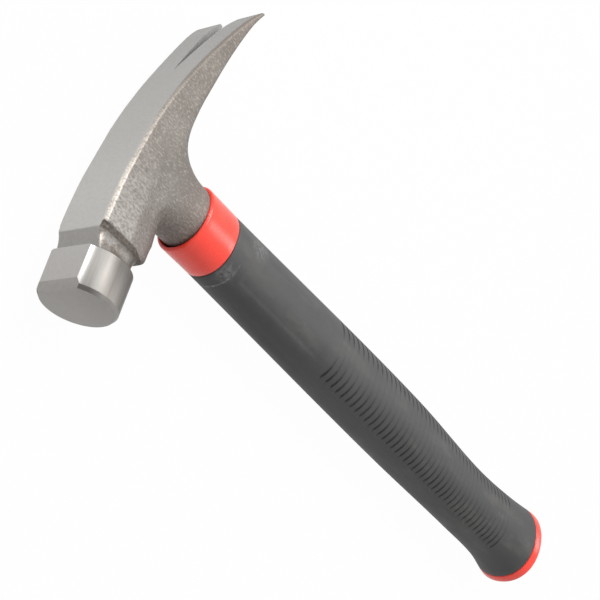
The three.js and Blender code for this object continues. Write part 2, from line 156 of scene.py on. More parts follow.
FORGING_SEGMENTS = 64
FORGING_VOXEL = 0.42
FORGING_SHARP_ANGLE = 60.0

# Smoothing of the forging, by depth below the top, by place along the strike axis and by height
FILLET_ROUNDS = 200
EDGE_ROUNDS = 2
NECK_FILLET_DEPTHS = (6.0, 13.0)
NECK_FILLET_FRONT = (-27.0, -12.0)
NECK_FILLET_REAR = (-48.0, -26.0)
NECK_FILLET_HEIGHTS = (COLLAR_TOP + 1, COLLAR_TOP + 6)
SOLE_FILLET_SHARE = 0.4
SOLE_FILLET_DEPTHS = (18.0, 23.0)
SOLE_FILLET_REAR = (25.0, 30.0)
SOLE_FILLET_FRONT = (-37.0, -35.5)

# Wear of the forging, by height above the ground top and by how far the surface faces up
WORN_HEIGHTS = (-3.0, -1.2)
GROUND_TILTS = (0.72, 0.9)
RUBBED_TILTS_FROM = (0.04, 0.2)
RUBBED_TILTS_TO = (-0.95, -0.75)

# Poll
POLL_BACK = 43.7
POLL_BACK_EDGE = 0.5
POLL_RADIUS = 14.6
POLL_TAPER = 0.2
FACE_DISTANCE = 60.5
FACE_CHAMFER_LENGTH = 1.4
FACE_CHAMFER_DEPTH = 1.0
FLAT_BEVEL_LENGTH = 3.4
FLAT_BEVEL_DEPTH = 1.5
POLL_SEGMENTS = 160
POLL_BEVEL_WIDTH = 0.22
POLL_BEVEL_ANGLE = 24.0
POLL_SHARP_ANGLE = 22.0

# Blocks that cut the head reach past it by this much, and this far across
CUTTER_CLEARANCE = 10.0
CUTTER_HALF_WIDTH = 30.0


def spot(x, y, z):
    """Where a place in the hammer's own axes lies in the scene."""
    return BUTT_SPOT + Vector((z, x, y)) * MM


def own_axes(place):
    """A scene place in the hammer's own axes."""
    offset = (place - BUTT_SPOT) / MM
    return Vector((offset.y, offset.z, offset.x))


def own_direction(direction):
    return Vector((direction.y, direction.z, direction.x))


def ramp(value, start, end):
    """Rises smoothly from 0 at start to 1 at end."""
    share = min(max((value - start) / (end - start), 0.0), 1.0)
    return share * share * (3 - 2 * share)


def spread(start, end, count):
    return [start + (end - start) * step / count for step in range(count + 1)]


def signed_power(value, exponent):
    return abs(value) ** exponent if value >= 0 else -(abs(value) ** exponent)


def oval(angle, half_depth, half_width, forward, squareness):
    x = forward + half_depth * signed_power(cos(angle), 2 / squareness)
    y = half_width * signed_power(sin(angle), 2 / squareness)
    return x, y


def grip_section(height):
    """Half depth, half width and forward offset of the grip at a height, curving through its sections."""
    last = len(GRIP_SECTIONS) - 2
    lower = 0
    while lower < last and GRIP_SECTIONS[lower + 1][0] <= height:
        lower += 1
    start, first = GRIP_SECTIONS[lower]
    end, second = GRIP_SECTIONS[lower + 1]
    span = end - start
    chord = (second - first) / span
    before = chord
    after = chord
    if lower > 0:
        before = (first - GRIP_SECTIONS[lower - 1][1]) / (start - GRIP_SECTIONS[lower - 1][0])
    if lower < last:
        after = (GRIP_SECTIONS[lower + 2][1] - second) / (GRIP_SECTIONS[lower + 2][0] - end)
    p = (height - start) / span
    leave = (chord + before) / 2 * span * (p ** 3 - 2 * p ** 2 + p)
    arrive = (chord + after) / 2 * span * (p ** 3 - p ** 2)
    return first.lerp(second, p * p * (3 - 2 * p)) + leave + arrive


def ring(bm, segments, shape):
    """A closed loop of edges whose vertices are placed by shape(angle)."""
    made = bmesh.ops.create_circle(bm, segments=segments, radius=1)["verts"]
    for vert in made:
        vert.co = shape(atan2(vert.co.y, vert.co.x))
    return list({edge for vert in made for edge in vert.link_edges})


def loft(bm, rings):
    for lower, upper in zip(rings, rings[1:]):
        bmesh.ops.bridge_loops(bm, edges=lower + upper)


def loft_solid(bm, rings):
    loft(bm, rings)
    bmesh.ops.edgeloop_fill(bm, edges=rings[0])
    bmesh.ops.edgeloop_fill(bm, edges=rings[-1])


def prism(bm, outline, along):
    """A closed block: a flat outline of places, extruded by a vector."""
    face = bm.faces.new([bm.verts.new(place) for place in outline])
    made = bmesh.ops.extrude_face_region(bm, geom=[face])["geom"]
    verts = [item for item in made if isinstance(item, bmesh.types.BMVert)]
    bmesh.ops.translate(bm, verts=verts, vec=along)


def make_object(bm, name):
    bmesh.ops.recalc_face_normals(bm, faces=bm.faces)
    mesh = bpy.data.meshes.new(name)
    bm.to_mesh(mesh)
    bm.free()
    piece = bpy.data.objects.new(name, mesh)
    bpy.context.scene.collection.objects.link(piece)
    return piece


def settle(piece):
    """Turns a piece's modifiers into its mesh."""
    bpy.context.view_layer.update()
    graph = bpy.context.evaluated_depsgraph_get()
    mesh = bpy.data.meshes.new_from_object(piece.evaluated_get(graph))
    piece.modifiers.clear()
    piece.data = mesh


def cut_away(piece, cutters):
    for cutter in cutters:
        cut = piece.modifiers.new("cut", "BOOLEAN")
        cut.operation = "DIFFERENCE"
        cut.solver = "EXACT"
        cut.object = cutter
    settle(piece)
    for cutter in cutters:
        bpy.data.objects.remove(cutter)


def smooth_shading(piece, sharp_angle):
    piece.data.shade_smooth()
    piece.data.set_sharp_from_angle(angle=radians(sharp_angle))


def stand_for(piece, node):
    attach(piece, "root")
    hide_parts(node)


# Grip, collar and butt cap


def rubber_relief(angle, height):
    """How deep the grooves and the side panels lie under the plain grip."""
    from_front = abs(degrees(angle))
    nearest = round((height - LOWEST_GROOVE) / GROOVE_PITCH)
    nearest = min(max(nearest, 0), GROOVE_COUNT - 1)
    off = abs(height - LOWEST_GROOVE - nearest * GROOVE_PITCH)
    depth = 0.0
    if off < GROOVE_HALF_WIDTH:
        reach = ramp(from_front, GROOVE_START_ANGLE, GROOVE_START_ANGLE + GROOVE_FADE_ANGLE)
        on_side = ramp(from_front, *GROOVE_SHALLOW_FROM) * (1 - ramp(from_front, *GROOVE_SHALLOW_TO))
        reach *= 1 - (1 - GROOVE_SHALLOW_SHARE) * on_side
        depth = GROOVE_DEPTH * reach * (1 - (off / GROOVE_HALF_WIDTH) ** 2)
    rise = ramp(height, PANEL_BOTTOM, PANEL_BOTTOM + PANEL_EDGE)
    rise *= ramp(-height, -PANEL_TOP, PANEL_EDGE - PANEL_TOP)
    inside = ramp(from_front, PANEL_FROM_ANGLE, PANEL_FROM_ANGLE + PANEL_EDGE_ANGLE)
    inside *= ramp(-from_front, -PANEL_TO_ANGLE, PANEL_EDGE_ANGLE - PANEL_TO_ANGLE)
    return depth + PANEL_DEPTH * rise * inside


def grip_ring(bm, height, inset=0.0, relief=None):
    half_depth, half_width, forward = grip_section(height)

    def shape(angle):
        sunk = inset
        if relief:
            sunk += relief(angle, height)
        x, y = oval(angle, half_depth - sunk, half_width - sunk, forward, GRIP_SQUARENESS)
        return spot(x, y, height)

    return ring(bm, GRIP_SEGMENTS, shape)


def rubber_heights():
    heights = spread(GRIP_BOTTOM + RUBBER_EDGE, LOWEST_GROOVE - GROOVE_PITCH / 2, 8)
    for groove in range(GROOVE_COUNT):
        middle = LOWEST_GROOVE + groove * GROOVE_PITCH
        heights += [middle + share * GROOVE_HALF_WIDTH for share in GROOVE_RING_SHARES]
        heights.append(middle + GROOVE_PITCH / 2)
    heights += spread(PANEL_BOTTOM - 4, PANEL_BOTTOM, 2)
    heights += spread(PANEL_BOTTOM + PANEL_EDGE / 4, PANEL_BOTTOM + PANEL_EDGE, 3)
    heights += spread(PANEL_BOTTOM + 2 * PANEL_EDGE, PANEL_TOP - 2 * PANEL_EDGE, 16)
    heights += spread(PANEL_TOP - PANEL_EDGE, PANEL_TOP, 4)
    heights += spread(PANEL_TOP + 2, GRIP_TOP - RUBBER_EDGE, 4)
    return heights


def edge_round(radius, count):
    """Steps round a quarter of a circle, as the inset and the rise of each."""
    return [(radius * (1 - cos(turn)), radius * sin(turn)) for turn in spread(0, pi / 2, count)]


def grip_sleeve():
    bm = bmesh.new()
    rings = []
    for inset, rise in reversed(edge_round(RUBBER_EDGE, 3)[1:]):
        rings.append(grip_ring(bm, GRIP_BOTTOM + RUBBER_EDGE - rise, inset))
    rings += [grip_ring(bm, height, 0.0, rubber_relief) for height in rubber_heights()]
    for inset, rise in edge_round(RUBBER_EDGE, 3)[1:]:
        rings.append(grip_ring(bm, GRIP_TOP - RUBBER_EDGE + rise, inset))
    rings += [grip_ring(bm, height, RUBBER_WALL) for height in spread(GRIP_TOP, GRIP_BOTTOM, 16)]
    loft(bm, rings)
    bmesh.ops.bridge_loops(bm, edges=rings[-1] + rings[0])
    piece = make_object(bm, "grip_rubber_sleeve")
    smooth_shading(piece, 60)
    stand_for(piece, "grip_sleeve")
    return piece


def neck_collar():
    bm = bmesh.new()

    def collar_ring(height, inset, squareness=GRIP_SQUARENESS):
        def shape(angle):
            half_depth = COLLAR_HALF_DEPTH - inset
            half_width = COLLAR_HALF_WIDTH - inset
            x, y = oval(angle, half_depth, half_width, COLLAR_FORWARD, squareness)
            return spot(x, y, height)
        return ring(bm, GRIP_SEGMENTS, shape)

    rings = []
    for inset, rise in reversed(edge_round(COLLAR_FOOT, 3)):
        rings.append(collar_ring(COLLAR_BOTTOM + COLLAR_FOOT - rise, inset))
    plain = spread(COLLAR_BOTTOM + COLLAR_PLAIN_MARGIN, COLLAR_TOP - COLLAR_PLAIN_MARGIN, 5)
    rings += [collar_ring(height, 0.0) for height in plain]
    for inset, rise in edge_round(COLLAR_EDGE, 6):
        rings.append(collar_ring(COLLAR_TOP - COLLAR_EDGE + rise, inset))
    inside = [
        (COLLAR_TOP - COLLAR_MOUTH_DROP, COLLAR_MOUTH_INSET),
        (COLLAR_BOTTOM + COLLAR_SEAT_HEIGHT, COLLAR_WALL),
        (COLLAR_BOTTOM, COLLAR_WALL),
    ]
    for height, inset in inside:
        rings.append(collar_ring(height, COLLAR_EDGE + inset, COLLAR_MOUTH_SQUARENESS))
    loft(bm, rings)
    bmesh.ops.bridge_loops(bm, edges=rings[-1] + rings[0])
    piece = make_object(bm, "red_neck_collar")
    smooth_shading(piece, 50)
    stand_for(piece, "neck_collar")
    return piece


def butt_cap():
    bm = bmesh.new()
    rings = []
    for inset, rise in reversed(edge_round(CAP_EDGE, 6)):
        rings.append(grip_ring(bm, CAP_EDGE - rise, inset))
    for inset, rise in edge_round(CAP_LIP, 3):
        rings.append(grip_ring(bm, RIM_TOP - CAP_LIP + rise, inset))
    rings.append(grip_ring(bm, RIM_TOP, CAP_BOSS_FOOT_INSET))
    rings.append(grip_ring(bm, CAP_BOSS_TOP, CAP_BOSS_TOP_INSET))
    loft_solid(bm, rings)
    piece = make_object(bm, "red_butt_cap")
    smooth_shading(piece, 50)
    stand_for(piece, "butt_cap")
    return piece


# Forged head


def head_top(x):
    """The top of the head: an arc that straightens along the claws and curls down at their ends."""
    back = max(BODY_FRONT - x, 0)
    lift = TIP_LIFT * (max(-x - TIP_LIFT_FROM, 0) / (CLAW_LENGTH - TIP_LIFT_FROM)) ** 2
    curl = TIP_CURL * (max(-x - TIP_CURL_FROM, 0) / (CLAW_LENGTH - TIP_CURL_FROM)) ** 2
    return HEAD_TOP - (TOP_ARC_RADIUS - sqrt(TOP_ARC_RADIUS ** 2 - back ** 2)) + lift - curl


def head_half_width(x):
    share = max(BODY_FRONT - x, 0) / (BODY_FRONT + CLAW_LENGTH)
    return BODY_HALF_WIDTH + (CLAW_END_HALF_WIDTH - BODY_HALF_WIDTH) * share ** CLAW_FLARING


def head_corners(half_width, top, cheek_edge, sole, sole_half_width, chamfer):
    """The eight corners of a section across the head, round from the near side."""
    near = [
        (sole_half_width, sole),
        (half_width, cheek_edge),
        (half_width, top - chamfer),
        (half_width - chamfer, top),
    ]
    return near + [(-y, z) for y, z in reversed(near)]


def claw_corners(x):
    share = max(-x - CLAW_ROOT, 0) / (CLAW_LENGTH - CLAW_ROOT)
    thinned = (CLAW_ROOT_THICKNESS - CLAW_END_THICKNESS) * (1 - share) ** CLAW_THINNING
    thickness = CLAW_END_THICKNESS + thinned
    half_width = head_half_width(x)
    top = head_top(x)
    chamfer = min(EDGE_CHAMFER, thickness / 3)
    sole = top - thickness - min(thickness / 4, CLAW_BELLY)
    return head_corners(half_width, top, top - thickness, sole, half_width - CLAW_BELLY_INSET, chamfer)


def body_corners(x):
    cheek_edge = POLL_AXIS - CHEEK_EDGE
    sole = POLL_AXIS - BODY_DEPTH
    return head_corners(head_half_width(x), head_top(x), cheek_edge, sole, SOLE_HALF_WIDTH, EDGE_CHAMFER)


def shoulder_corners():
    """The body's end, drawn in at the cheeks and the sole towards the groove, with the top's height kept."""
    sole = POLL_AXIS - CORE_HALF_HEIGHT
    return [(y * SHOULDER_KEPT, max(z, sole)) for y, z in body_corners(BODY_FRONT)]


def corner_ring(bm, x, corners):
    def shape(angle):
        y, z = corners[round(angle / (pi / 4)) % 8]
        return spot(x, y, z)
    return ring(bm, 8, shape)


def core_ring(bm, x):
    """A rounded square between body and poll, slimmest halfway."""
    more = CORE_FLARE * min(abs(x - CORE_WAIST) / CORE_WAIST_HALF_LENGTH, 1) ** 2

    def shape(angle):
        squareness = CORE_TOP_SQUARENESS if angle > 0 else CORE_SOLE_SQUARENESS
        y, z = oval(angle, CORE_HALF_WIDTH + more, CORE_HALF_HEIGHT + more, 0, squareness)
        return spot(x, y, POLL_AXIS + z)

    return ring(bm, FORGING_SEGMENTS, shape)


def neck_ring(bm, height):
    """The neck sweeps out below the body. Above, its hub runs into the cheeks and its front draws back."""
    share = min(max(height - COLLAR_TOP, 0) / (SWEEP_TOP - COLLAR_TOP), 1)
    pull = 1 - (1 - share ** SWEEP_SQUARENESS) ** (1 / SWEEP_SQUARENESS)
    draw_back = max(height - SWEEP_TOP, 0) / (HUB_TOP - SWEEP_TOP)
    rear = -NECK_HALF_DEPTH - REAR_SWEEP * pull
    front = NECK_HALF_DEPTH + FRONT_SWEEP * pull
    front += (HUB_FRONT - front) * draw_back

    def shape(angle):
        x, y = oval(angle, (front - rear) / 2, NECK_HALF_WIDTH, (front + rear) / 2, 2 + share * share)
        return spot(x, y, height)

    return ring(bm, FORGING_SEGMENTS, shape)


def nail_slot_cutter():
    bm = bmesh.new()
    past = CLAW_LENGTH * 1.2
    half = SLOT_END_HALF_WIDTH / (CLAW_LENGTH - SLOT_START) * (past - SLOT_START)
    corners = [(-SLOT_START, 0), (-past, half), (-past, -half)]
    above = HEAD_TOP + 2 * CUTTER_CLEARANCE
    prism(bm, [spot(x, y, COLLAR_TOP) for x, y in corners], spot(0, 0, above) - spot(0, 0, COLLAR_TOP))
    return make_object(bm, "nail_slot_cutter")


def ground_height(x):
    """The ground top of the head, which slopes down over the core between body and poll."""
    shoulder_front = BODY_FRONT + SHOULDER_LENGTH
    slope = NOTCH_DEPTH / (POLL_BACK - NOTCH_STEP - shoulder_front)
    return head_top(x) - slope * max(x - shoulder_front, 0)


def fillet_share(place):
    """How freely the forging is smoothed: most where the neck runs into the body, none along the top."""
    below_top = head_top(place.x) - place.z
    under_neck = ramp(below_top, *NECK_FILLET_DEPTHS) * ramp(-place.x, *NECK_FILLET_FRONT)
    under_neck *= ramp(place.x, *NECK_FILLET_REAR)
    sole_corner = SOLE_FILLET_SHARE * ramp(below_top, *SOLE_FILLET_DEPTHS)
    sole_corner *= ramp(place.x, *SOLE_FILLET_REAR) * ramp(-place.x, *SOLE_FILLET_FRONT)
    return max(under_neck, sole_corner) * ramp(place.z, *NECK_FILLET_HEIGHTS)


def add_wear(piece):
    """Marks the forging's points: ground top, edges rubbed bright, machined core, dark shoulder."""
    names = ("ground", "rubbed", "machined", "scaled")
    ground, rubbed, machined, scaled = [piece.data.attributes.new(name, "FLOAT", "POINT") for name in names]
    shoulder_front = BODY_FRONT + SHOULDER_LENGTH
    for vert in piece.data.vertices:
        place = own_axes(vert.co)
        normal = own_direction(vert.normal)
        near_top = ramp(place.z - ground_height(place.x), *WORN_HEIGHTS)
        on_core = ramp(place.x, shoulder_front + 0.1, shoulder_front + 0.7)
        between_claws = ramp(-place.x, SLOT_START - 2, SLOT_START)
        between_claws *= ramp(-abs(place.y), -SLOT_END_HALF_WIDTH - 1, -SLOT_END_HALF_WIDTH)
        upward = max(ramp(normal.z, *GROUND_TILTS), between_claws)
        edge = ramp(normal.z, *RUBBED_TILTS_FROM) * ramp(-normal.z, *RUBBED_TILTS_TO)
        stepped = ramp(place.x, BODY_FRONT + 0.1, BODY_FRONT + 0.7)
        stepped *= ramp(-place.x, -shoulder_front - 0.9, -shoulder_front)
        plain_edge = edge * (1 - stepped) * (1 - between_claws)
        ground.data[vert.index].value = near_top * upward * (1 - 0.5 * on_core)
        rubbed.data[vert.index].value = near_top * plain_edge * (1 - 0.6 * on_core)
        machined.data[vert.index].value = on_core
        scaled.data[vert.index].value = stepped * (1 - upward)


def across_cutter(name, outline):
    """A block across both cheeks with an outline in the strike plane."""
    bm = bmesh.new()
    far_side = [spot(x, -CUTTER_HALF_WIDTH, z) for x, z in outline]
    prism(bm, far_side, spot(0, 2 * CUTTER_HALF_WIDTH, 0) - spot(0, 0, 0))
    return make_object(bm, name)


def groove_core():
    """What joins body and poll, with the facet that is ground across its top."""
    bm = bmesh.new()
    loft_solid(bm, [core_ring(bm, x) for x in spread(BODY_FRONT, CORE_FRONT, 16)])
    core = make_object(bm, "groove_core")
    above = HEAD_TOP + CUTTER_CLEARANCE
    past = CORE_FRONT + CUTTER_CLEARANCE / 2
    facet_back = BODY_FRONT + SHOULDER_LENGTH
    facet_front = POLL_BACK - NOTCH_STEP
    low = HEAD_TOP - NOTCH_DEPTH
    slope = [(0, HEAD_TOP), (facet_back, HEAD_TOP), (facet_front, low), (past, low)]
    cut_away(core, [across_cutter("facet_cutter", slope + [(past, above), (0, above)])])
    return core


def head_forging():
    bm = bmesh.new()
    rings = [corner_ring(bm, x, claw_corners(x)) for x in spread(-CLAW_LENGTH, -CLAW_ROOT, 36)]
    rings += [corner_ring(bm, x, body_corners(x)) for x in spread(CLAW_ROOT, BODY_FRONT, 6)]
    rings.append(corner_ring(bm, BODY_FRONT + SHOULDER_LENGTH, shoulder_corners()))
    loft_solid(bm, rings)
    core = groove_core()
    bm.from_mesh(core.data)
    bpy.data.objects.remove(core)
    neck_heights = spread(COLLAR_TOP - NECK_FOOT, SWEEP_TOP, 30) + spread(SWEEP_TOP, HUB_TOP, 8)[1:]
    loft_solid(bm, [neck_ring(bm, height) for height in neck_heights])
    piece = make_object(bm, "head_forging")
    fuse = piece.modifiers.new("fuse", "REMESH")
    fuse.mode = "VOXEL"
    fuse.voxel_size = FORGING_VOXEL * MM
    settle(piece)
    soft = piece.vertex_groups.new(name="fillet")
    every = piece.vertex_groups.new(name="edges")
    for vert in piece.data.vertices:
        soft.add([vert.index], fillet_share(own_axes(vert.co)), "REPLACE")
        every.add([vert.index], 1.0, "REPLACE")
    for group, rounds in ((soft, FILLET_ROUNDS), (every, EDGE_ROUNDS)):
        smooth = piece.modifiers.new("smooth", "SMOOTH")
        smooth.factor = 0.5
        smooth.iterations = rounds
        smooth.vertex_group = group.name
    settle(piece)
    piece.vertex_groups.clear()
    cut_away(piece, [nail_slot_cutter()])
    smooth_shading(piece, FORGING_SHARP_ANGLE)
    add_wear(piece)
    stand_for(piece, "hammer_head")
    return piece


FORGED, SLOT = range(2)
SLOT_WALL_TILT = 0.9
SLOT_MARGIN = 0.1


def forging_zone(place, normal):
    """Which finish a face of the forging has."""
    in_slot = place.x < -SLOT_START and abs(place.y) < SLOT_END_HALF_WIDTH + SLOT_MARGIN
    return SLOT if in_slot and abs(normal.y) > SLOT_WALL_TILT else FORGED


def poll_cutters():
    above = HEAD_TOP + CUTTER_CLEARANCE
    past = FACE_DISTANCE + CUTTER_CLEARANCE
    bevel_back = FACE_DISTANCE - FLAT_BEVEL_LENGTH
    bevel_low = HEAD_TOP - FLAT_BEVEL_DEPTH / FLAT_BEVEL_LENGTH * (past - bevel_back)
    flat = [(0, HEAD_TOP), (past, HEAD_TOP), (past, above), (0, above)]
    bevel = [(bevel_back, HEAD_TOP), (past, bevel_low), (past, above), (bevel_back, above)]
    return [across_cutter("flat_cutter", flat), across_cutter("bevel_cutter", bevel)]


def poll_profile():
    """Distance along the strike axis and radius, from the back of the poll to the middle of the face."""
    return [
        (POLL_BACK, 0.0),
        (POLL_BACK, POLL_RADIUS - POLL_BACK_EDGE),
        (POLL_BACK + POLL_BACK_EDGE, POLL_RADIUS),
        (FACE_DISTANCE - FACE_CHAMFER_LENGTH, POLL_RADIUS - POLL_TAPER),
        (FACE_DISTANCE, POLL_RADIUS - POLL_TAPER - FACE_CHAMFER_DEPTH),
        (FACE_DISTANCE, 0.0),
    ]


TURNED, FLAT, FACE, CHAMFER = range(4)
FACE_TILT = 0.98
CHAMFER_TILT = 0.25
FLAT_BEVEL_SKEW = 0.05
FLAT_TILT = 0.995


def poll_zone(place, normal):
    """Which finish a face of the poll has."""
    if normal.x > FACE_TILT:
        return FACE
    if normal.x > CHAMFER_TILT:
        return FACE if abs(normal.y) < FLAT_BEVEL_SKEW else CHAMFER
    if normal.z > FLAT_TILT:
        return FLAT
    return TURNED


def head_poll():
    bm = bmesh.new()
    verts = [bm.verts.new(spot(x, 0, POLL_AXIS + radius)) for x, radius in poll_profile()]
    edges = [bm.edges.new(pair) for pair in zip(verts, verts[1:])]
    bmesh.ops.spin(
        bm, geom=verts + edges, cent=spot(0, 0, POLL_AXIS), axis=(0, 1, 0), angle=2 * pi, steps=POLL_SEGMENTS,
        use_merge=True,
    )
    bmesh.ops.remove_doubles(bm, verts=bm.verts, dist=0.001 * MM)
    piece = make_object(bm, "head_poll")
    cut_away(piece, poll_cutters())
    bevel = piece.modifiers.new("edges", "BEVEL")
    bevel.width = POLL_BEVEL_WIDTH * MM
    bevel.segments = 2
    bevel.limit_method = "ANGLE"
    bevel.angle_limit = radians(POLL_BEVEL_ANGLE)
    settle(piece)
    smooth_shading(piece, POLL_SHARP_ANGLE)
    stand_for(piece, "hammer_head")
    return piece


# Materials


# The values that most of a noise's surface has, and its core
NOISE_USUAL = (0.3, 0.7)
NOISE_CORE = (0.35, 0.65)


class Finish:
    """A material's node tree, with the shader that every finish ends in."""

    def __init__(self, name, colour, metallic, roughness):
        self.material = bpy.data.materials.new(name)
        self.material.use_nodes = True
        self.tree = self.material.node_tree
        self.shader = self.tree.nodes["Principled BSDF"]
        self.shader.inputs["Base Color"].default_value = (*colour, 1)
        self.shader.inputs["Metallic"].default_value = metallic
        self.shader.inputs["Roughness"].default_value = roughness
        self.places = self.tree.nodes.new("ShaderNodeTexCoord").outputs["Object"]

    def node(self, kind, **values):
        made = self.tree.nodes.new(kind)
        for name, value in values.items():
            setattr(made, name, value)
        return made

    def feed(self, socket, value):
        if isinstance(value, bpy.types.NodeSocket):
            self.tree.links.new(value, socket)
        else:
            socket.default_value = value

    def noise(self, scale, detail=4.0, stretch=(1, 1, 1), rough=0.55):
        mapping = self.node("ShaderNodeMapping")
        self.feed(mapping.inputs["Vector"], self.places)
        self.feed(mapping.inputs["Scale"], stretch)
        noise = self.node("ShaderNodeTexNoise")
        self.feed(noise.inputs["Vector"], mapping.outputs["Vector"])
        self.feed(noise.inputs["Scale"], scale)
        self.feed(noise.inputs["Detail"], detail)
        self.feed(noise.inputs["Roughness"], rough)
        return noise.outputs["Fac"]

    def mark(self, name):
        return self.node("ShaderNodeAttribute", attribute_name=name).outputs["Fac"]

    def math(self, operation, first, second=0.0, third=0.0, clamp=False):
        made = self.node("ShaderNodeMath", operation=operation, use_clamp=clamp)
        for socket, value in zip(made.inputs, (first, second, third)):
            self.feed(socket, value)
        return made.outputs["Value"]

    def range(self, value, low, high, to_low=0.0, to_high=1.0):
        made = self.node("ShaderNodeMapRange", clamp=True)
        names = ("Value", "From Min", "From Max", "To Min", "To Max")
        for name, number in zip(names, (value, low, high, to_low, to_high)):
            self.feed(made.inputs[name], number)
        return made.outputs["Result"]

    def usual(self, noise, to_low=0.0, to_high=1.0):
        """A noise spread over a full share, or over two values."""
        return self.range(noise, *NOISE_USUAL, to_low, to_high)

    def along_strike(self, start, end, to_low=0.0, to_high=1.0):
        return self.range(self.axis("Y"), spot(start, 0, 0).y, spot(end, 0, 0).y, to_low, to_high)

    def up_handle(self, start, end, to_low=0.0, to_high=1.0):
        return self.range(self.axis("X"), spot(0, 0, start).x, spot(0, 0, end).x, to_low, to_high)

    def near(self, place, within, clear, strength=1.0):
        """Full strength within one distance of a place, in millimetres, and none past another."""
        return self.range(self.distance(place), within * MM, clear * MM, strength, 0.0)

    def blend(self, share, first, second):
        made = self.node("ShaderNodeMix", data_type="RGBA")
        self.feed(made.inputs["Factor"], share)
        for socket, colour in ((made.inputs[6], first), (made.inputs[7], second)):
            self.feed(socket, colour if isinstance(colour, bpy.types.NodeSocket) else (*colour, 1))
        return made.outputs[2]

    def mix(self, share, first, second):
        made = self.node("ShaderNodeMix", data_type="FLOAT")
        self.feed(made.inputs["Factor"], share)
        self.feed(made.inputs[2], first)
        self.feed(made.inputs[3], second)
        return made.outputs[0]

    def bump(self, height, depth, strength=1.0):
        """Raises the surface by a height of 0 to 1, which stands for depth in millimetres."""
        made = self.node("ShaderNodeBump")
        self.feed(made.inputs["Height"], height)
        self.feed(made.inputs["Distance"], depth * MM)
        self.feed(made.inputs["Strength"], strength)
        self.feed(self.shader.inputs["Normal"], made.outputs["Normal"])

    def axis(self, name):
        made = self.node("ShaderNodeSeparateXYZ")
        self.feed(made.inputs["Vector"], self.places)
        return made.outputs[name]

    def distance(self, place):
        made = self.node("ShaderNodeVectorMath", operation="DISTANCE")
        self.feed(made.inputs[0], self.places)
        self.feed(made.inputs[1], place)
        return made.outputs["Value"]

    def colour(self, value):
        self.feed(self.shader.inputs["Base Color"], value)

    def roughness(self, value):
        self.feed(self.shader.inputs["Roughness"], value)


def blasted_cheek(finish, coarse):
    """Pitted grain, lightest on the front of the body and darker on claws; near the collar a brown tone with
    a painted red reflection of the collar, painted shade at the hub, and painted shade with a painted collar
    reflection towards the sole.
    """
    patches = finish.range(finish.noise(90, 3), *NOISE_CORE)
    claw = finish.blend(patches, (0.146, 0.127, 0.11), (0.185, 0.163, 0.143))
    claw_root = finish.blend(patches, (0.18, 0.162, 0.144), (0.218, 0.198, 0.179))
    front = finish.blend(patches, (0.29, 0.271, 0.252), (0.345, 0.325, 0.305))
    back = finish.blend(finish.along_strike(-70, -25), claw, claw_root)
    body = finish.blend(finish.along_strike(-4, 28), back, front)
    # Near the collar: a brown tone, with a painted red reflection of the collar in it.
    collar_tint_and_reflection_share = finish.up_handle(COLLAR_TOP + 1, COLLAR_TOP + 20, 0.9, 0.0)
    neck_tone_and_painted_reflection = finish.blend(collar_tint_and_reflection_share, body, (0.238, 0.192, 0.167))
    # Painted shade in the hollow where the hub runs into the body.
    hub_painted_shade_share = finish.near(spot(-1, 11, 312), 4, 19, 0.36)
    with_hub_painted_shade = finish.blend(hub_painted_shade_share, neck_tone_and_painted_reflection, (0.095, 0.083, 0.073))
    # Painted shade towards the sole in front of the neck, tinged with a painted red reflection of the collar.
    sole = POLL_AXIS - BODY_DEPTH
    by_sole = finish.up_handle(sole, sole + 6, 0.95, 0.28)
    under_cheek = finish.up_handle(POLL_AXIS - 5, POLL_AXIS - 2, 1.0, 0.0)
    before_neck = finish.along_strike(9, 20)
    painted_sole_shade_share = finish.math("MULTIPLY", finish.math("MULTIPLY", by_sole, under_cheek), before_neck)
    with_painted_sole_shade = finish.blend(painted_sole_shade_share, with_hub_painted_shade, (0.1, 0.064, 0.057))
    sparkling = finish.blend(finish.range(coarse, 0.55, 0.8), with_painted_sole_shade, (0.335, 0.314, 0.293))
    return finish.blend(finish.range(coarse, 0.28, 0.56), (0.15, 0.135, 0.121), sparkling)


def stained_core(finish, fine):
    """Turned steel between body and poll, stained brown in patches, and darker underneath."""
    turned = finish.blend(finish.range(fine, *NOISE_CORE), (0.17, 0.157, 0.143), (0.3, 0.285, 0.266))
    stain = finish.range(finish.noise(260, 5, rough=0.65), 0.43, 0.58, 0.0, 0.9)
    stained = finish.blend(stain, turned, (0.118, 0.094, 0.077))
    underneath = finish.up_handle(POLL_AXIS - 7, POLL_AXIS + 4, 0.6, 0.0)
    return finish.blend(underneath, stained, (0.1, 0.084, 0.071))


